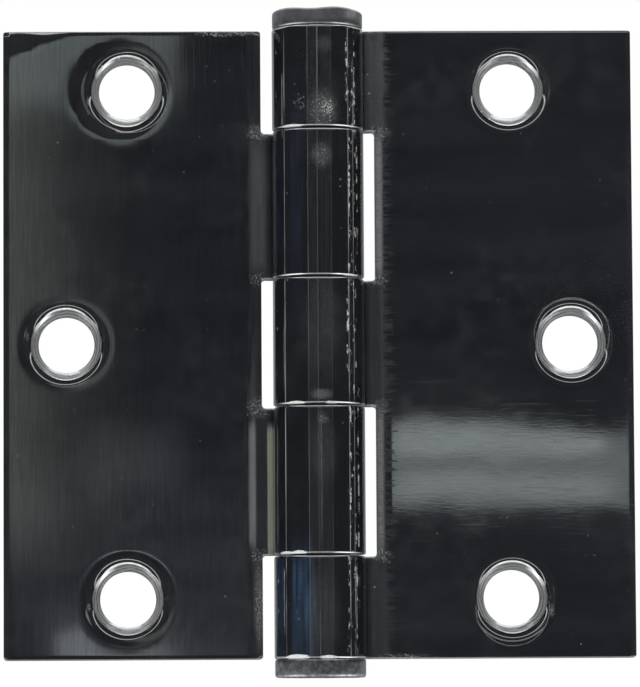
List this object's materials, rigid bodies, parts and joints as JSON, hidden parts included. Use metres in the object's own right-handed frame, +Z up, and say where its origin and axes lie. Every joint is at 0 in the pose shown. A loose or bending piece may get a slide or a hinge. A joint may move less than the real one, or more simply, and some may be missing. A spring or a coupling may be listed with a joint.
{
  "type": "door hinge",
  "caption": "Polished chrome square-corner butt hinge with a knuckled barrel, a lift-out pin with a button head, a pressed bottom plug and countersunk screw holes in both leaves.",
  "frame": {"origin": "on the pin axis, at half the height of the leaves", "axes": "+Z up along the pin axis towards the head of the pin; +X out along the jamb leaf; +Y towards the backs of the leaves, so the countersunk faces look along -Y; at rest the hinge lies folded out flat"},
  "size_m": [0.0888, 0.0128, 0.094],
  "materials": {
    "chrome_plate": "polished chrome plate on steel, with handling scratches, dust and a faint haze"
  },
  "bodies": {
    "jamb_side": {"jamb_leaf": "chrome_plate", "bottom_plug": "chrome_plate"},
    "door_side": {"door_leaf": "chrome_plate"},
    "pin": {"hinge_pin": "chrome_plate"}
  },
  "joints": [
    {"name": "door_leaf_swing", "type": "hinge", "parent": "jamb_side", "child": "door_side", "pos_m": [0, 0, 0], "axis": [0, 0, 1], "range_deg": [-133, 180]},
    {"name": "pin_lift_out", "type": "slide", "parent": "jamb_side", "child": "pin", "axis": [0, 0, 1], "range_m": [0, 0.09]}
  ]
}
